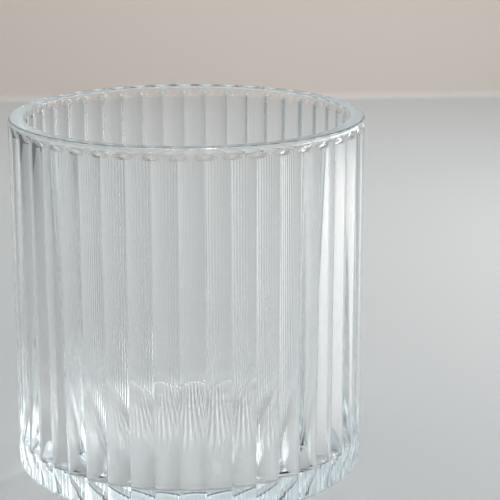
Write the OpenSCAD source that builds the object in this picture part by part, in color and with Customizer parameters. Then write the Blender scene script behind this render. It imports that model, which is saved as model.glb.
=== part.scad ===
// Straight-sided ribbed tea glass, pressed in one piece.
// Millimetres, +Z up, origin at the middle of the foot.

/* [Glass] */
// Outside diameter over the plain band at the rim
glass_d = 80; // [60:1:100]
// Height from the table to the rim
glass_h = 81; // [60:0.5:110]
// Thickness of the wall at the mouth
mouth_wall = 3.7; // [3:0.1:5]
// How much smaller the bore's radius is at the floor than at the mouth
bore_draft = 0.8; // [0:0.1:2]
// Height of the inside floor above the table
floor_h = 5; // [4:0.5:14]
// Radius of the corner between the floor and the bore
floor_corner_r = 4; // [2:0.5:8]

/* [Ribs] */
// Number of upright ribs around the wall
rib_count = 45; // [36:1:54]
// Depth of the grooves below the rib crests
groove_depth = 0.9; // [0.6:0.1:1.4]
// How far the rib crests lie inside the plain band
crest_inset = 0.1; // [0.05:0.05:0.3]

/* [Rim] */
// Height of the plain band above the rib tops
band_h = 0.9; // [0.9:0.1:4]
// Height over which the grooves run out under the band
runout_h = 2.6; // [1.5:0.1:5]
// Rounding of the rim's outer edge
rim_outer_r = 0.6; // [0.4:0.1:0.8]
// Rounding of the rim's inner edge
rim_inner_r = 0.8; // [0.4:0.1:1.5]

/* [Foot] */
// Radius of the lower outside corner, at least enough to round the grooves' lower ends
foot_corner_r = 1.6; // [0.8:0.1:5]
// Width of the flat ring that the glass stands on
foot_ring_w = 8; // [4:0.5:12]
// Depth of the hollow inside that ring
hollow_depth = 1; // [0.5:0.1:2]

/* [Hidden] */
$fn = 180;

// Distance by which a cutting shape runs past what it cuts
overrun = 1;
// How far the foot's arc would reach past the band, so that it meets the ribs at an angle
arc_reach = 0.2;
// How far the plain wall behind the ribs lies inside the grooves
core_inset = 0.3;

band_r = glass_d / 2;
crest_r = band_r - crest_inset;
groove_r = crest_r - groove_depth;
core_r = groove_r - core_inset;

// A rib is an arc through its crest and through the grooves on both sides
rib_step = 360 / rib_count;
rib_half_chord = groove_r * sin(rib_step / 2);
rib_rise = crest_r - groove_r * cos(rib_step / 2);
rib_r = (rib_half_chord ^ 2 + rib_rise ^ 2) / (2 * rib_rise);
rib_axis_r = crest_r - rib_r;

// The grooves run out between these two heights
band_z = glass_h - band_h;
runout_z = band_z - runout_h;

// Centre of the arc at the rim's outer edge
rim_outer_x = band_r - rim_outer_r;
rim_outer_z = glass_h - rim_outer_r;

// The bore leans outwards by a small angle from the floor to the mouth
mouth_r = band_r - mouth_wall;
bore_floor_r = mouth_r - bore_draft;
bore_lean = atan(bore_draft / (glass_h - floor_h));

// Centre of the arc between the floor and the bore
floor_arc_x = bore_floor_r + floor_corner_r * (tan(bore_lean) - 1 / cos(bore_lean));
floor_arc_z = floor_h + floor_corner_r;

// Centre of the arc at the rim's inner edge
rim_inner_z = glass_h - rim_inner_r;
rim_inner_x = mouth_r + rim_inner_r * (1 / cos(bore_lean) - tan(bore_lean));

// Centre of the arc at the foot's outer corner, which lies inside the grooves
foot_arc_r = max(foot_corner_r, band_r + arc_reach - core_r);
foot_arc_x = band_r + arc_reach - foot_arc_r;
hollow_r = foot_arc_x - foot_ring_w;

// Point on an arc, turned from the outward direction
function arc_point(x, z, r, turn) = [x + r * cos(turn), z + r * sin(turn)];

// Outline of the plain band at the rim and of the slope on which the grooves run out
module band_outline() {
    polygon([
        [0, runout_z],
        [core_r, runout_z],
        [band_r, band_z],
        [band_r, rim_outer_z],
        [rim_outer_x, glass_h],
        [0, glass_h]
    ]);
    translate([rim_outer_x, rim_outer_z])
        circle(r = rim_outer_r);
}

// Outline that rounds the foot and levels the base
module foot_outline() {
    polygon([
        [0, 0],
        [foot_arc_x, 0],
        [foot_arc_x + foot_arc_r, foot_arc_r],
        [foot_arc_x + foot_arc_r, glass_h + overrun],
        [0, glass_h + overrun]
    ]);
    translate([foot_arc_x, foot_arc_r])
        circle(r = foot_arc_r);
}

// Outline of the space for the drink, with the rim's inner edge left round
module bore_outline() {
    difference() {
        union() {
            polygon([
                [0, floor_h],
                [floor_arc_x, floor_h],
                arc_point(floor_arc_x, floor_arc_z, floor_corner_r, -bore_lean),
                arc_point(rim_inner_x, rim_inner_z, rim_inner_r, 180 - bore_lean),
                [rim_inner_x, rim_inner_z],
                [rim_inner_x, glass_h + overrun],
                [0, glass_h + overrun]
            ]);
            translate([floor_arc_x, floor_arc_z])
                circle(r = floor_corner_r);
        }
        translate([rim_inner_x, rim_inner_z])
            circle(r = rim_inner_r);
    }
}

// Outline of the shallow hollow that leaves a ring to stand on
module hollow_outline() {
    polygon([
        [0, -overrun],
        [hollow_r + overrun, -overrun],
        [hollow_r - hollow_depth, hollow_depth],
        [0, hollow_depth]
    ]);
}

// Section through the ribs, level with the table
module rib_section() {
    circle(r = core_r);
    for (i = [0 : rib_count - 1])
        rotate(i * rib_step - 90)
            translate([rib_axis_r, 0])
                circle(r = rib_r);
}

// The ribs stand from below the foot and end inside the plain band
module ribbed_wall() {
    translate([0, 0, -overrun])
        linear_extrude(height = band_z + overrun)
            rib_section();
    rotate_extrude()
        band_outline();
}

module tumbler() {
    color("azure", 0.5)
        difference() {
            intersection() {
                ribbed_wall();
                rotate_extrude()
                    foot_outline();
            }
            rotate_extrude()
                bore_outline();
            rotate_extrude()
                hollow_outline();
        }
}

tumbler();
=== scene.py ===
import math

import bpy
from mathutils import Euler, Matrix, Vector


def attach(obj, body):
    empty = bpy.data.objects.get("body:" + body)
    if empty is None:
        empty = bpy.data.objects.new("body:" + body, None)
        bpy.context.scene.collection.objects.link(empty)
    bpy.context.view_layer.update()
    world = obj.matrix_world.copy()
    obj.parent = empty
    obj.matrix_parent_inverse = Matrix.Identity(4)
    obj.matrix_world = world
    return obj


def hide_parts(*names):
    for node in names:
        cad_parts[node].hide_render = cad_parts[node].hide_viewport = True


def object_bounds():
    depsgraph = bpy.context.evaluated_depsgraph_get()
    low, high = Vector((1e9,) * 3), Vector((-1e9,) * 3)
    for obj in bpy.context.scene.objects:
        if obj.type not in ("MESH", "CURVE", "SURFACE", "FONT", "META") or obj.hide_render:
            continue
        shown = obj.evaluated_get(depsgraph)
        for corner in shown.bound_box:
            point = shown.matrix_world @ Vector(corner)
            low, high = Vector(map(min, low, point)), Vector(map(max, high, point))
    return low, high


bl_info = {
    "name": "Ribbed Chai Glass",
    "version": (1, 0, 0),
    "blender": (4, 5, 0),
    "location": "3D View > Sidebar > Chai Glass",
    "description": "Builds a clear pressed glass with upright ribs, and a plain studio around it",
    "category": "Add Mesh",
}

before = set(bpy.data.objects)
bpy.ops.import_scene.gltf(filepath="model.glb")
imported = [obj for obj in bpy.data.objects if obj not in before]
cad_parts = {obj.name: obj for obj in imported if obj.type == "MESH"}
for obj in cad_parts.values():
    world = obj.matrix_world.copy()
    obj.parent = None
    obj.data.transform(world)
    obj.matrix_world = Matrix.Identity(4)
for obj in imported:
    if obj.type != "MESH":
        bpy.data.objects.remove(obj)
cad_low, cad_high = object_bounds()

# Lengths are in metres, as in the frame, and a size in millimetres is written times MM
MM = 0.001
TUMBLER_NODE = "tumbler"

# Overall sizes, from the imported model
BAND_RADIUS = (cad_high[0] - cad_low[0]) / 2
GLASS_HEIGHT = cad_high[2] - cad_low[2]


# Settings that a user would change

class GlassSizes(bpy.types.PropertyGroup):
    """Sizes of the pressed glass, in metres."""

    rib_count: bpy.props.IntProperty(
        name="Ribs", description="Number of upright ribs around the wall", default=45, min=3)
    columns_per_rib: bpy.props.IntProperty(
        name="Columns per rib", description="Mesh columns across one rib", default=24, min=4)
    groove_depth: bpy.props.FloatProperty(
        name="Groove depth", description="Depth of the grooves below the rib crests",
        default=0.9 * MM, subtype="DISTANCE", unit="LENGTH")
    crest_inset: bpy.props.FloatProperty(
        name="Crest inset", description="How far the rib crests lie inside the plain band",
        default=0.0, subtype="DISTANCE", unit="LENGTH")
    groove_rounding: bpy.props.FloatProperty(
        name="Groove rounding", description="How softly two ribs meet at the bottom of a groove",
        default=0.1 * MM, subtype="DISTANCE", unit="LENGTH")
    waviness: bpy.props.FloatProperty(
        name="Waviness", description="How far the pressed walls stray from their true shape",
        default=0.05 * MM, subtype="DISTANCE", unit="LENGTH")
    mouth_wall: bpy.props.FloatProperty(
        name="Wall at the mouth", description="Thickness of the wall at the mouth",
        default=3.7 * MM, subtype="DISTANCE", unit="LENGTH")
    bore_draft: bpy.props.FloatProperty(
        name="Bore draft", description="How much smaller the bore's radius is at the floor",
        default=0.8 * MM, subtype="DISTANCE", unit="LENGTH")
    floor_height: bpy.props.FloatProperty(
        name="Floor height", description="Height of the inside floor above the table",
        default=5.0 * MM, subtype="DISTANCE", unit="LENGTH")
    floor_corner: bpy.props.FloatProperty(
        name="Floor corner width", description="How far the round corner reaches across the floor",
        default=1.8 * MM, subtype="DISTANCE", unit="LENGTH")
    floor_corner_height: bpy.props.FloatProperty(
        name="Floor corner height", description="How far the round corner reaches up the bore",
        default=14.0 * MM, subtype="DISTANCE", unit="LENGTH")
    band_height: bpy.props.FloatProperty(
        name="Band height", description="Height of the plain band above the groove tops",
        default=1.1 * MM, subtype="DISTANCE", unit="LENGTH")
    runout_height: bpy.props.FloatProperty(
        name="Run-out height", description="Height over which the grooves run out under the band",
        default=1.7 * MM, subtype="DISTANCE", unit="LENGTH")
    rim_outer: bpy.props.FloatProperty(
        name="Outer rim rounding", description="Rounding of the rim's outer edge",
        default=1.0 * MM, subtype="DISTANCE", unit="LENGTH")
    rim_inner: bpy.props.FloatProperty(
        name="Inner rim rounding", description="Rounding of the rim's inner edge",
        default=0.4 * MM, subtype="DISTANCE", unit="LENGTH")
    rim_slope: bpy.props.FloatProperty(
        name="Rim slope", description="How much lower the rim's inner edge lies than the outer one",
        default=0.1 * MM, subtype="DISTANCE", unit="LENGTH")
    foot_corner: bpy.props.FloatProperty(
        name="Foot corner", description="Radius of the lower outside corner",
        default=1.6 * MM, subtype="DISTANCE", unit="LENGTH")
    foot_reach: bpy.props.FloatProperty(
        name="Foot reach", description="How far the foot's arc would reach past the band",
        default=0.2 * MM, subtype="DISTANCE", unit="LENGTH")
    foot_ring: bpy.props.FloatProperty(
        name="Foot ring", description="Width of the ring that the glass stands on",
        default=3.0 * MM, subtype="DISTANCE", unit="LENGTH")
    hollow_depth: bpy.props.FloatProperty(
        name="Hollow depth", description="Height of the domed hollow inside the foot ring",
        default=0.8 * MM, subtype="DISTANCE", unit="LENGTH")
    softness: bpy.props.FloatProperty(
        name="Edge softness", description="How softly the ribs blend into the foot's rounding",
        default=0.12 * MM, subtype="DISTANCE", unit="LENGTH")


class GlassFinish(bpy.types.PropertyGroup):
    """Look of the clear glass."""

    tint: bpy.props.FloatVectorProperty(
        name="Tint", description="Colour that a long way through the glass takes on",
        default=(0.84, 0.94, 0.97), subtype="COLOR", min=0.0, max=1.0)
    tint_density: bpy.props.FloatProperty(
        name="Tint density", description="How fast the tint builds up, per metre of glass",
        default=9.0, min=0.0)
    index: bpy.props.FloatProperty(
        name="Index", description="Index of refraction of soda-lime glass", default=1.52, min=1.0)
    light_through: bpy.props.FloatProperty(
        name="Light through", description="Share of the light that each level surface lets through",
        default=0.86, min=0.0, max=1.0)
    light_between: bpy.props.FloatProperty(
        name="Light between ribs", description="Share of the light that passes at a groove",
        default=0.35, min=0.0, max=1.0)
    light_gathered: bpy.props.FloatProperty(
        name="Light gathered", description="How much brighter a rib makes the light it gathers",
        default=4.3, min=0.0)
    ripple: bpy.props.FloatProperty(
        name="Ripple", description="Strength of the faint ripple of pressed glass",
        default=0.02, min=0.0)


class StudioSettings(bpy.types.PropertyGroup):
    """Camera, stage and light."""

    table_colour: bpy.props.FloatVectorProperty(
        name="Table", description="Colour of the floor under the glass",
        default=(0.44, 0.44, 0.433), subtype="COLOR", min=0.0, max=1.0)
    wall_colour: bpy.props.FloatVectorProperty(
        name="Wall", description="Colour of the backdrop",
        default=(0.655, 0.577, 0.520), subtype="COLOR", min=0.0, max=1.0)
    middle_colour: bpy.props.FloatVectorProperty(
        name="Middle wall", description="Colour of the backdrop just above the picture",
        default=(0.55, 0.53, 0.50), subtype="COLOR", min=0.0, max=1.0)
    # Pale blue-white upper wall: painted light that stands in for the daylight the glass picks up
    painted_daylight_colour: bpy.props.FloatVectorProperty(
        name="Upper wall", description="Colour of the backdrop well above the picture",
        default=(0.82, 0.87, 0.89), subtype="COLOR", min=0.0, max=1.0)
    # Dark card: painted shade, a dark sheet that stands in for the shaded left side of the room
    shade_card_colour: bpy.props.FloatVectorProperty(
        name="Card", description="Colour of the dark card that draws the ribs' darker lines",
        default=(0.12, 0.125, 0.13), subtype="COLOR", min=0.0, max=1.0)
    sky_colour: bpy.props.FloatVectorProperty(
        name="Ambient colour", description="Colour of the soft light from all around",
        default=(0.92, 1.0, 1.04), subtype="COLOR", min=0.0)
    zenith_strength: bpy.props.FloatProperty(
        name="Light from above", description="Strength of the soft light from straight above",
        default=0.4, min=0.0)
    horizon_strength: bpy.props.FloatProperty(
        name="Light from the sides", description="Strength of the soft light from the horizon",
        default=0.9, min=0.0)
    key_power: bpy.props.FloatProperty(
        name="Key light", description="Power of the lamp high behind the glass",
        default=2.45, min=0.0, unit="POWER")
    side_power: bpy.props.FloatProperty(
        name="Side light", description="Power of the wide lamp low on the right",
        default=0.72, min=0.0, unit="POWER")
    fill_power: bpy.props.FloatProperty(
        name="Fill light", description="Power of the weak lamp low on the left",
        default=0.12, min=0.0, unit="POWER")
    wall_power: bpy.props.FloatProperty(
        name="Wall light", description="Power of the lamp that washes the backdrop",
        default=0.45, min=0.0, unit="POWER")
    lens: bpy.props.FloatProperty(
        name="Lens", description="Focal length on a 36 mm wide sensor", default=118.9, min=1.0)
    camera_distance: bpy.props.FloatProperty(
        name="Camera distance", description="From the middle of the rim to the camera",
        default=371.9 * MM, subtype="DISTANCE", unit="LENGTH")
    camera_elevation: bpy.props.FloatProperty(
        name="Camera elevation", description="How far the camera stands above the rim, as an angle",
        default=math.radians(10.41), subtype="ANGLE", unit="ROTATION")
    camera_azimuth: bpy.props.FloatProperty(
        name="Camera azimuth", description="Turn of the camera round the glass from the front",
        default=math.radians(-1.0), subtype="ANGLE", unit="ROTATION")
    aim_right: bpy.props.FloatProperty(
        name="Aim right", description="How far to the right of the axis the camera aims",
        default=14.13 * MM, subtype="DISTANCE", unit="LENGTH")
    aim_drop: bpy.props.FloatProperty(
        name="Aim drop", description="How far below the rim the camera aims",
        default=32.04 * MM, subtype="DISTANCE", unit="LENGTH")


# Helpers for node trees

class TreeMaker:
    """Adds nodes to a tree and joins them, with plain values or sockets as inputs."""

    def __init__(self, tree):
        self.tree = tree

    def add(self, kind, settings=None, **inputs):
        """A new node with these settings. An input's name has _ for each space."""
        made = self.tree.nodes.new(kind)
        for name, value in (settings or {}).items():
            setattr(made, name, value)
        for name, value in inputs.items():
            self.feed(made.inputs[name.replace("_", " ")], value)
        return made

    def feed(self, socket, value):
        """Joins another socket to this one, or sets it to a plain value."""
        if isinstance(value, bpy.types.NodeSocket):
            self.tree.links.new(value, socket)
        else:
            socket.default_value = value

    def math(self, operation, *values):
        """The result of a new Math node."""
        made = self.tree.nodes.new("ShaderNodeMath")
        made.operation = operation
        for socket, value in zip(made.inputs, values):
            self.feed(socket, value)
        return made.outputs[0]

    def smooth_step(self, value, low, high, start=0.0, end=1.0):
        """A value that goes softly from start to end, as the given one goes from low to high."""
        made = self.add("ShaderNodeMapRange", {"interpolation_type": "SMOOTHSTEP"}, Value=value,
                        From_Min=low, From_Max=high, To_Min=start, To_Max=end)
        return made.outputs[0]


def set_modifier_input(modifier, name, value):
    """Sets a Geometry Nodes input by the identifier of the socket with this name."""
    for item in modifier.node_group.interface.items_tree:
        if item.item_type == "SOCKET" and item.in_out == "INPUT" and item.name == name:
            modifier[item.identifier] = value
            return
    raise KeyError(name)


def place_in_scene(name, data):
    """A new object for a mesh, a lamp or a camera."""
    made = bpy.data.objects.new(name, data)
    bpy.context.scene.collection.objects.link(made)
    return made


# The outline of the glass, turned round its axis

# Rows of faces along the curves, and how close the rows of a straight stretch come to its ends
ARC_STEPS = 8
DOME_STEPS = 6
CORNER_STEPS = 14
RUNOUT_STEPS = 24
GUARD = 0.15 * MM


def arc(centre, radius, start, end, steps=ARC_STEPS):
    """Points on an arc, between two angles in degrees from the outward direction."""
    turns = [math.radians(start + (end - start) * i / steps) for i in range(steps + 1)]
    return [(centre[0] + radius * math.cos(t), centre[1] + radius * math.sin(t)) for t in turns]


def straight(start, end, guard=GUARD):
    """The inner points of a straight stretch, close to its ends, which keep its shading flat."""
    a, b = Vector(start), Vector(end)
    way = (b - a).normalized() * guard
    return [tuple(a + way), tuple((a + b) / 2), tuple(b - way)]


def floor_corner(sizes, mouth_r, lean):
    """Points down the round corner from the bore to the floor, a quarter of an ellipse."""
    wide, high = sizes.floor_corner, sizes.floor_corner_height
    start = math.atan(math.tan(lean) * high / wide)
    middle = sizes.floor_height + high
    bore_r = mouth_r - (GLASS_HEIGHT - middle + high * math.sin(start)) * math.tan(lean)
    unit = arc((0.0, 0.0), 1.0, -math.degrees(start), -90, CORNER_STEPS)
    return [(bore_r + wide * (x - math.cos(start)), middle + high * z) for x, z in unit]


def glass_outline(sizes):
    """Rings from the middle of the underside, up the outside, over the rim and down to the floor.

    Each ring is a radius, a height and 1 on the ribbed outside or 0 elsewhere."""
    rim = GLASS_HEIGHT
    band_low = rim - sizes.band_height
    runout_low = band_low - sizes.runout_height
    reach = BAND_RADIUS + sizes.foot_reach
    foot_arc_r = reach - sizes.foot_corner
    hollow_r = foot_arc_r - sizes.foot_ring
    depth = sizes.hollow_depth

    mouth_r = BAND_RADIUS - sizes.mouth_wall
    lean = math.atan(sizes.bore_draft / (rim - sizes.floor_height))
    spread = 1 / math.cos(lean) - math.tan(lean)
    rim_in = (mouth_r + sizes.rim_inner * spread, rim - sizes.rim_slope - sizes.rim_inner)
    rim_out = (BAND_RADIUS - sizes.rim_outer, rim - sizes.rim_outer)
    lean_deg = math.degrees(lean)

    hollow = [(hollow_r * i / DOME_STEPS, depth * (1 - (i / DOME_STEPS) ** 2))
              for i in range(DOME_STEPS + 1)]
    ring = straight(hollow[-1], (foot_arc_r, 0.0))

    outside = arc((foot_arc_r, sizes.foot_corner), sizes.foot_corner, -90, 0)
    outside += straight((reach, sizes.foot_corner), (reach, runout_low - GUARD))
    step = (band_low - runout_low) / RUNOUT_STEPS
    outside += [(reach, runout_low + i * step) for i in range(RUNOUT_STEPS + 1)]

    face = 90 + math.degrees(math.atan2(sizes.rim_slope, rim_out[0] - rim_in[0]))
    inside = arc(rim_out, sizes.rim_outer, 0, face)
    rim_round = arc(rim_in, sizes.rim_inner, face, 180 - lean_deg)
    inside += straight(inside[-1], rim_round[0])
    inside += rim_round
    corner = floor_corner(sizes, mouth_r, lean)
    inside += straight(rim_round[-1], corner[0]) + corner
    inside += straight(corner[-1], (0.0, sizes.floor_height))
    inside += [(0.0, sizes.floor_height)]

    plain = [(r, z, 0.0) for r, z in hollow + ring]
    ribbed = [(r, z, 1.0) for r, z in outside]
    return plain + ribbed + [(r, z, 0.0) for r, z in inside]


def outline_mesh(sizes):
    """The outline as a line of edges, with the rings as attributes for the node tree."""
    rings = glass_outline(sizes)
    mesh = bpy.data.meshes.new("glass_outline")
    edges = [(i, i + 1) for i in range(len(rings) - 1)]
    mesh.from_pydata([(r, z, 0.0) for r, z, _ in rings], edges, [])
    for index, name in enumerate(("ring_radius", "ring_height", "ribbed")):
        values = mesh.attributes.new(name, "FLOAT", "POINT")
        values.data.foreach_set("value", [ring[index] for ring in rings])
    return mesh


# Pressing the ribs with Geometry Nodes

RIB_INPUTS = (
    ("Rib Count", "NodeSocketInt"),
    ("Columns per Rib", "NodeSocketInt"),
    ("Crest Radius", "NodeSocketFloat"),
    ("Groove Radius", "NodeSocketFloat"),
    ("Groove Rounding", "NodeSocketFloat"),
    ("Band Radius", "NodeSocketFloat"),
    ("Run-out Low", "NodeSocketFloat"),
    ("Run-out High", "NodeSocketFloat"),
    ("Edge Softness", "NodeSocketFloat"),
    ("Waviness", "NodeSocketFloat"),
    ("Seed", "NodeSocketFloat"),
    ("Material", "NodeSocketMaterial"),
)
COLUMN_CROWDING = 0.5
WAVE_SCALE = 70.0
WAVE_SEED = 4.0
NOISE_DETAIL = 1.0
NOISE_MIDDLE = 0.5
MERGE_DISTANCE = 0.001 * MM


def rib_reach(maker, given, step):
    """A function for how far a rib's arc lies from the axis, at an angle from the rib's crest."""
    m = maker.math
    half = m("DIVIDE", step, 2.0)
    chord = m("MULTIPLY", given["Groove Radius"], m("SINE", half))
    chord_r = m("MULTIPLY", given["Groove Radius"], m("COSINE", half))
    rise = m("SUBTRACT", given["Crest Radius"], chord_r)
    squares = m("ADD", m("MULTIPLY", chord, chord), m("MULTIPLY", rise, rise))
    rib_r = m("DIVIDE", squares, m("MULTIPLY", rise, 2.0))
    axis_r = m("SUBTRACT", given["Crest Radius"], rib_r)

    def reach(across):
        side = m("MULTIPLY", axis_r, m("SINE", across))
        bulge = m("SQRT", m("SUBTRACT", m("MULTIPLY", rib_r, rib_r), m("MULTIPLY", side, side)))
        return m("ADD", m("MULTIPLY", axis_r, m("COSINE", across)), bulge)

    return reach


def ribbed_radius(maker, given, turn, height):
    """Radius of the outside wall: ribs, rounded where two meet, that run out under the rim."""
    m = maker.math
    step = m("DIVIDE", math.tau, given["Rib Count"])
    reach = rib_reach(maker, given, step)
    across = m("PINGPONG", turn, m("DIVIDE", step, 2.0))
    beside = m("SUBTRACT", step, across)
    ribs = m("SMOOTH_MAX", reach(across), reach(beside), given["Groove Rounding"])
    depth = m("SUBTRACT", given["Band Radius"], ribs)
    left = maker.smooth_step(height, given["Run-out Low"], given["Run-out High"], 1.0, 0.0)
    return m("SUBTRACT", given["Band Radius"], m("MULTIPLY", depth, left))


def press_tree():
    """Node tree that turns the outline round the axis and presses the ribs into its outside."""
    tree = bpy.data.node_groups.new("Press Ribbed Glass", "GeometryNodeTree")
    tree.interface.new_socket(name="Outline", in_out="INPUT", socket_type="NodeSocketGeometry")
    for name, kind in RIB_INPUTS:
        tree.interface.new_socket(name=name, in_out="INPUT", socket_type=kind)
    tree.interface.new_socket(name="Glass", in_out="OUTPUT", socket_type="NodeSocketGeometry")
    maker = TreeMaker(tree)
    m = maker.math
    given = tree.nodes.new("NodeGroupInput").outputs

    # Columns stand closer together at the grooves than at the crests
    columns = m("MULTIPLY", given["Rib Count"], given["Columns per Rib"])
    circle = maker.add("GeometryNodeCurvePrimitiveCircle", {"mode": "RADIUS"},
                       Resolution=columns, Radius=BAND_RADIUS)
    index = maker.add("GeometryNodeInputIndex").outputs[0]
    ribs_on = m("DIVIDE", index, given["Columns per Rib"])
    crowd = m("MULTIPLY", m("SINE", m("MULTIPLY", ribs_on, math.tau)), COLUMN_CROWDING / math.tau)
    turn = m("MULTIPLY", m("DIVIDE", m("ADD", ribs_on, crowd), given["Rib Count"]), math.tau)
    path = maker.add("GeometryNodeStoreNamedAttribute", {"data_type": "FLOAT", "domain": "POINT"},
                     Geometry=circle.outputs["Curve"], Name="turn", Value=turn)
    line = maker.add("GeometryNodeMeshToCurve", None, Mesh=given["Outline"])
    swept = maker.add("GeometryNodeCurveToMesh", None,
                      Curve=path.outputs["Geometry"], Profile_Curve=line.outputs["Curve"])

    def stored(name):
        reader = maker.add("GeometryNodeInputNamedAttribute", {"data_type": "FLOAT"}, Name=name)
        return reader.outputs[0]

    angle = stored("turn")
    height = stored("ring_height")
    ring = stored("ring_radius")
    ribbed = stored("ribbed")
    heading = m("SUBTRACT", angle, math.pi / 2)

    def around(radius):
        x = m("MULTIPLY", radius, m("COSINE", heading))
        y = m("MULTIPLY", radius, m("SINE", heading))
        return maker.add("ShaderNodeCombineXYZ", None, X=x, Y=y, Z=height).outputs[0]

    # The outside takes the ribs or the foot's rounding, whichever lies further in
    wall = m("SMOOTH_MIN", ribbed_radius(maker, given, angle, height), ring, given["Edge Softness"])
    radius = m("ADD", m("MULTIPLY", wall, ribbed), m("MULTIPLY", ring, m("SUBTRACT", 1.0, ribbed)))

    # The pressed walls stray a little from that, by a share of their radius
    wave = maker.add("ShaderNodeTexNoise", {"noise_dimensions": "4D"}, Vector=around(radius),
                     W=given["Seed"], Scale=WAVE_SCALE, Detail=NOISE_DETAIL).outputs[0]
    waviness = m("DIVIDE", given["Waviness"], given["Band Radius"])
    stray = m("MULTIPLY", m("SUBTRACT", wave, NOISE_MIDDLE), waviness)
    place = around(m("MULTIPLY", radius, m("ADD", stray, 1.0)))
    moved = maker.add("GeometryNodeSetPosition", None, Geometry=swept.outputs[0], Position=place)
    closed = maker.add("GeometryNodeMergeByDistance", None, Geometry=moved.outputs[0],
                       Distance=MERGE_DISTANCE)
    outward = maker.add("GeometryNodeFlipFaces", None, Mesh=closed.outputs[0])
    smooth = maker.add("GeometryNodeSetShadeSmooth", None, Geometry=outward.outputs[0])
    real = maker.add("GeometryNodeRealizeInstances", None, Geometry=smooth.outputs[0])
    finished = maker.add("GeometryNodeSetMaterial", None, Geometry=real.outputs[0],
                         Material=given["Material"])
    out = tree.nodes.new("NodeGroupOutput")
    tree.links.new(finished.outputs[0], out.inputs[0])
    return tree


# The glass

# Widths are shares of a rib's pitch, and the side and the level face are parts of a direction
HALF_PITCH = 0.5
STREAK_HALF_WIDTH = 0.3
STREAK_WOBBLE = 0.5
STREAK_WOBBLE_SCALE = 160.0
STREAK_SIDE = (0.55, 0.85)
LEVEL_FACE = 0.7
RIPPLE_SCALE = 90.0
RIPPLE_DEPTH = 0.2 * MM


def rib_light(maker, place, finish, sizes):
    """How much light passes a surface. Each rib that faces the key lamp gathers a streak."""
    m = maker.math
    split = maker.add("ShaderNodeSeparateXYZ", None, Vector=place).outputs
    turn = m("DIVIDE", m("ARCTAN2", split["X"], m("MULTIPLY", split["Y"], -1.0)), math.tau)
    wobble = maker.add("ShaderNodeTexNoise", None, Vector=place, Scale=STREAK_WOBBLE_SCALE,
                       Detail=NOISE_DETAIL).outputs[0]
    even = m("MULTIPLY", turn, float(sizes.rib_count))
    ribs_on = m("ADD", even, m("MULTIPLY", wobble, STREAK_WOBBLE))
    streak = maker.smooth_step(m("PINGPONG", ribs_on, HALF_PITCH), 0.0, STREAK_HALF_WIDTH,
                               finish.light_gathered, finish.light_between)

    # Streaks come from the ribbed outside, where it faces the key lamp
    squares = [m("MULTIPLY", split[axis], split[axis]) for axis in "XY"]
    radius = m("SQRT", m("ADD", *squares))
    outside = m("MULTIPLY", m("GREATER_THAN", radius, BAND_RADIUS - sizes.mouth_wall / 2),
                m("LESS_THAN", split["Z"], GLASS_HEIGHT - sizes.band_height))
    towards = maker.smooth_step(m("DIVIDE", split["Y"], radius), *STREAK_SIDE)
    streaked = m("MULTIPLY", outside, towards)

    # Only the level faces of the base, the floor and the rim take light away
    facing = maker.add("ShaderNodeNewGeometry").outputs["True Normal"]
    upright = maker.add("ShaderNodeSeparateXYZ", None, Vector=facing).outputs["Z"]
    level = m("GREATER_THAN", m("ABSOLUTE", upright), LEVEL_FACE)
    plain = m("ADD", m("MULTIPLY", level, finish.light_through), m("SUBTRACT", 1.0, level))
    unstreaked = m("SUBTRACT", 1.0, streaked)
    return m("ADD", m("MULTIPLY", streak, streaked), m("MULTIPLY", plain, unstreaked))


def clear_glass(finish, sizes):
    """Clear pressed glass: a faint ripple on the surface and a blue-green tint in its depth."""
    material = bpy.data.materials.new("clear_pressed_glass")
    material.use_nodes = True
    maker = TreeMaker(material.node_tree)
    shader = material.node_tree.nodes["Principled BSDF"]
    output = material.node_tree.nodes["Material Output"]
    shader.inputs["Base Color"].default_value = (1.0, 1.0, 1.0, 1.0)
    shader.inputs["Transmission Weight"].default_value = 1.0
    shader.inputs["Roughness"].default_value = 0.0
    shader.inputs["IOR"].default_value = finish.index
    place = maker.add("ShaderNodeTexCoord")
    ripple = maker.add("ShaderNodeTexNoise", None, Vector=place.outputs["Object"],
                       Scale=RIPPLE_SCALE, Detail=NOISE_DETAIL)
    bump = maker.add("ShaderNodeBump", None, Strength=finish.ripple, Distance=RIPPLE_DEPTH,
                     Height=ripple.outputs["Fac"])
    maker.feed(shader.inputs["Normal"], bump.outputs["Normal"])

    # The table sees its light straight through the glass, with a streak for each rib
    light = rib_light(maker, place.outputs["Object"], finish, sizes)
    passed = maker.add("ShaderNodeBsdfTransparent", None, Color=light)
    path = maker.add("ShaderNodeLightPath")
    to_light = maker.math("MAXIMUM", path.outputs["Is Shadow Ray"], path.outputs["Is Diffuse Ray"])
    either = maker.add("ShaderNodeMixShader")
    maker.feed(either.inputs[0], to_light)
    maker.feed(either.inputs[1], shader.outputs[0])
    maker.feed(either.inputs[2], passed.outputs[0])
    maker.feed(output.inputs["Surface"], either.outputs[0])
    depth = maker.add("ShaderNodeVolumeAbsorption", None, Color=(*finish.tint, 1.0),
                      Density=finish.tint_density)
    maker.feed(output.inputs["Volume"], depth.outputs[0])
    return material


# The stage

STAGE_HALF_WIDTH = 3.0
STAGE_FRONT = -2.5
WALL_DISTANCE = 0.476
WALL_HEIGHT = 0.45
COVE_RADIUS = 0.004
AIR_GAP = 0.05 * MM
STAGE_ROUGHNESS = 0.5
# Place and height of the dark card, a sheet of painted shade on the left
CARD_X = -0.28
CARD_Y = (0.04, 0.45)
CARD_HEIGHT = 0.08
SENSOR_WIDTH = 36.0

# Heights between which the wall's colour, the middle one and the upper one, which is painted
# daylight, set in
PAINT_STARTS = ((0.0, COVE_RADIUS), (0.05, 0.065), (0.13, 0.24))

# Sockets of a Mix node that mixes colours
MIX_SHARE, MIX_FIRST, MIX_SECOND, MIX_RESULT = 0, 6, 7, 2

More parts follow.
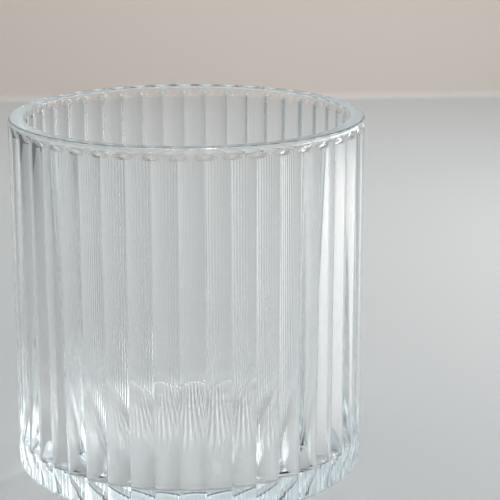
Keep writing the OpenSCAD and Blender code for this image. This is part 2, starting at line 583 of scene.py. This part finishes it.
# Each lamp's place, the point that it faces, its width and its height
KEY_LAMP = ((0.07, 0.37, 0.75), (0.0, 0.0, 0.04), 0.025, 0.025)
SIDE_LAMP = ((0.30, 0.05, 0.13), (0.14, 0.02, 0.0), 0.4, 0.08)
FILL_LAMP = ((-0.30, -0.02, 0.13), (-0.18, 0.0, 0.0), 0.3, 0.08)
WALL_LAMP = ((0.12, 0.25, 0.35), (0.12, WALL_DISTANCE, 0.02), 0.6, 0.1)

# Upward parts of the directions between which the light from the sides gives way to that from above
GLOW_RANGE = (0.12, 0.4)
GLASS_BOUNCES = 256
GLOSSY_BOUNCES = 12


def stage_paint(studio):
    """Plain paint of the sweep: a pale table, and a wall that is warm, then grey, then pale, where
    the pale blue-white top is painted daylight.
    """
    material = bpy.data.materials.new("stage_paint")
    material.use_nodes = True
    maker = TreeMaker(material.node_tree)
    shader = material.node_tree.nodes["Principled BSDF"]
    shader.inputs["Roughness"].default_value = STAGE_ROUGHNESS
    place = maker.add("ShaderNodeTexCoord")
    split = maker.add("ShaderNodeSeparateXYZ", None, Vector=place.outputs["Object"])
    colour = (*studio.table_colour, 1.0)
    paints = (studio.wall_colour, studio.middle_colour, studio.painted_daylight_colour)
    for heights, paint in zip(PAINT_STARTS, paints):
        mixed = maker.add("ShaderNodeMix", {"data_type": "RGBA"})
        maker.feed(mixed.inputs[MIX_SHARE], maker.smooth_step(split.outputs["Z"], *heights))
        maker.feed(mixed.inputs[MIX_FIRST], colour)
        maker.feed(mixed.inputs[MIX_SECOND], (*paint, 1.0))
        colour = mixed.outputs[MIX_RESULT]
    maker.feed(shader.inputs["Base Color"], colour)
    return material


def stage_sweep(studio):
    """Table and backdrop as one sheet, bent in a small cove, with a film of air under the glass."""
    centre = (WALL_DISTANCE - COVE_RADIUS, COVE_RADIUS)
    rows = [(STAGE_FRONT, 0.0)] + arc(centre, COVE_RADIUS, -90, 0) + [(WALL_DISTANCE, WALL_HEIGHT)]
    rows = [(y, z - AIR_GAP) for y, z in rows]
    corners = [(side * STAGE_HALF_WIDTH, y, z) for y, z in rows for side in (-1, 1)]
    faces = [(2 * i, 2 * i + 1, 2 * i + 3, 2 * i + 2) for i in range(len(rows) - 1)]
    mesh = bpy.data.meshes.new("stage_sweep")
    mesh.from_pydata(corners, [], faces)
    mesh.shade_smooth()
    mesh.materials.append(stage_paint(studio))
    sweep = place_in_scene("stage_sweep", mesh)


def area_lamp(name, place, target, width, height, power):
    """A soft lamp that faces a point, out of the camera's sight."""
    lamp = bpy.data.lights.new(name, "AREA")
    lamp.shape = "RECTANGLE"
    lamp.size = width
    lamp.size_y = height
    lamp.energy = power
    holder = place_in_scene(name, lamp)
    holder.location = place
    holder.rotation_euler = (Vector(target) - Vector(place)).to_track_quat("-Z", "Y").to_euler()
    holder.visible_camera = False


def dark_card(studio):
    """Dark card on the left, out of the camera's sight: painted shade that stands in for the shaded
    left side of the room and gives the ribs their darker lines.
    """
    corners = [(CARD_X, CARD_Y[0], 0.0), (CARD_X, CARD_Y[1], 0.0),
               (CARD_X, CARD_Y[1], CARD_HEIGHT), (CARD_X, CARD_Y[0], CARD_HEIGHT)]
    mesh = bpy.data.meshes.new("dark_card")
    mesh.from_pydata(corners, [], [(0, 1, 2, 3)])
    paint = bpy.data.materials.new("card_paint")
    paint.use_nodes = True
    shader = paint.node_tree.nodes["Principled BSDF"]
    shader.inputs["Base Color"].default_value = (*studio.shade_card_colour, 1.0)
    mesh.materials.append(paint)
    card = place_in_scene("dark_card", mesh)
    card.visible_camera = False


def studio_world(studio):
    """Soft light from all around, brighter at the horizon than above."""
    world = bpy.data.worlds.new("studio_world")
    world.use_nodes = True
    background = world.node_tree.nodes["Background"]
    maker = TreeMaker(world.node_tree)
    where = maker.add("ShaderNodeTexCoord").outputs["Generated"]
    height = maker.add("ShaderNodeSeparateXYZ", Vector=where).outputs["Z"]
    glow = maker.smooth_step(height, *GLOW_RANGE, studio.horizon_strength, studio.zenith_strength)
    maker.feed(background.inputs["Color"], (*studio.sky_colour, 1.0))
    maker.feed(background.inputs["Strength"], glow)
    bpy.context.scene.world = world


def studio_camera(studio):
    """Camera at the viewing angle of the reference picture."""
    data = bpy.data.cameras.new("studio_camera")
    data.lens = studio.lens
    data.sensor_width = SENSOR_WIDTH
    camera = place_in_scene("studio_camera", data)
    turn = Euler((0.0, 0.0, studio.camera_azimuth)).to_matrix()
    rim_middle = Vector((0.0, 0.0, GLASS_HEIGHT))
    back = Vector((0.0, -math.cos(studio.camera_elevation), math.sin(studio.camera_elevation)))
    eye = turn @ (back * studio.camera_distance) + rim_middle
    aim = turn @ Vector((studio.aim_right, 0.0, GLASS_HEIGHT - studio.aim_drop))
    camera.location = eye
    camera.rotation_euler = (aim - eye).to_track_quat("-Z", "Y").to_euler()
    bpy.context.scene.camera = camera


# Operators

class CHAIGLASS_OT_tumbler(bpy.types.Operator):
    """Press the ribbed glass"""

    bl_idname = "chaiglass.tumbler"
    bl_label = "Ribbed Tumbler"

    def execute(self, context):
        sizes = context.scene.glass_sizes
        band_low = GLASS_HEIGHT - sizes.band_height
        crest = BAND_RADIUS - sizes.crest_inset
        groove = crest - sizes.groove_depth
        glass = clear_glass(context.scene.glass_finish, sizes)

        blank = place_in_scene("glass_blank", outline_mesh(sizes))
        press = blank.modifiers.new("Press", "NODES")
        press.node_group = press_tree()
        values = (sizes.rib_count, sizes.columns_per_rib, crest, groove, sizes.groove_rounding,
                  BAND_RADIUS, band_low - sizes.runout_height, band_low, sizes.softness,
                  sizes.waviness, WAVE_SEED, glass)
        for (name, _), value in zip(RIB_INPUTS, values):
            set_modifier_input(press, name, value)

        evaluated = blank.evaluated_get(context.evaluated_depsgraph_get())
        mesh = bpy.data.meshes.new_from_object(evaluated)
        mesh.name = "ribbed_tumbler"
        bpy.data.objects.remove(blank)
        tumbler = place_in_scene("ribbed_tumbler", mesh)
        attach(tumbler, "root")
        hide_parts(TUMBLER_NODE)
        return {"FINISHED"}


class CHAIGLASS_OT_stage(bpy.types.Operator):
    """Set up the table, the backdrop, the light and the camera"""

    bl_idname = "chaiglass.stage"
    bl_label = "Studio Stage"

    def execute(self, context):
        studio = context.scene.studio_settings
        stage_sweep(studio)
        studio_world(studio)
        area_lamp("key_lamp", *KEY_LAMP, studio.key_power)
        area_lamp("side_lamp", *SIDE_LAMP, studio.side_power)
        area_lamp("fill_lamp", *FILL_LAMP, studio.fill_power)
        area_lamp("wall_lamp", *WALL_LAMP, studio.wall_power)
        dark_card(studio)
        light_paths = context.scene.cycles
        light_paths.max_bounces = GLASS_BOUNCES
        light_paths.transmission_bounces = GLASS_BOUNCES
        light_paths.glossy_bounces = GLOSSY_BOUNCES
        light_paths.caustics_refractive = False
        light_paths.caustics_reflective = False
        studio_camera(studio)
        context.scene.view_settings.view_transform = "Standard"
        return {"FINISHED"}


class CHAIGLASS_PT_panel(bpy.types.Panel):
    """Buttons and settings for the glass"""

    bl_idname = "CHAIGLASS_PT_panel"
    bl_label = "Chai Glass"
    bl_space_type = "VIEW_3D"
    bl_region_type = "UI"
    bl_category = "Chai Glass"

    def draw(self, context):
        for operator in OPERATORS:
            self.layout.operator(operator.bl_idname)
        for name in SETTINGS:
            box = self.layout.box()
            group = getattr(context.scene, name)
            for prop in group.__annotations__:
                box.prop(group, prop)


OPERATORS = (CHAIGLASS_OT_tumbler, CHAIGLASS_OT_stage)
SETTINGS = {
    "glass_sizes": GlassSizes,
    "glass_finish": GlassFinish,
    "studio_settings": StudioSettings,
}
CLASSES = (*SETTINGS.values(), *OPERATORS, CHAIGLASS_PT_panel)


def register():
    for cls in CLASSES:
        bpy.utils.register_class(cls)
    for name, group in SETTINGS.items():
        setattr(bpy.types.Scene, name, bpy.props.PointerProperty(type=group))


def unregister():
    for name in SETTINGS:
        delattr(bpy.types.Scene, name)
    for cls in reversed(CLASSES):
        bpy.utils.unregister_class(cls)


def main():
    register()
    bpy.ops.chaiglass.tumbler()
    bpy.ops.chaiglass.stage()


if __name__ == "__main__":
    main()
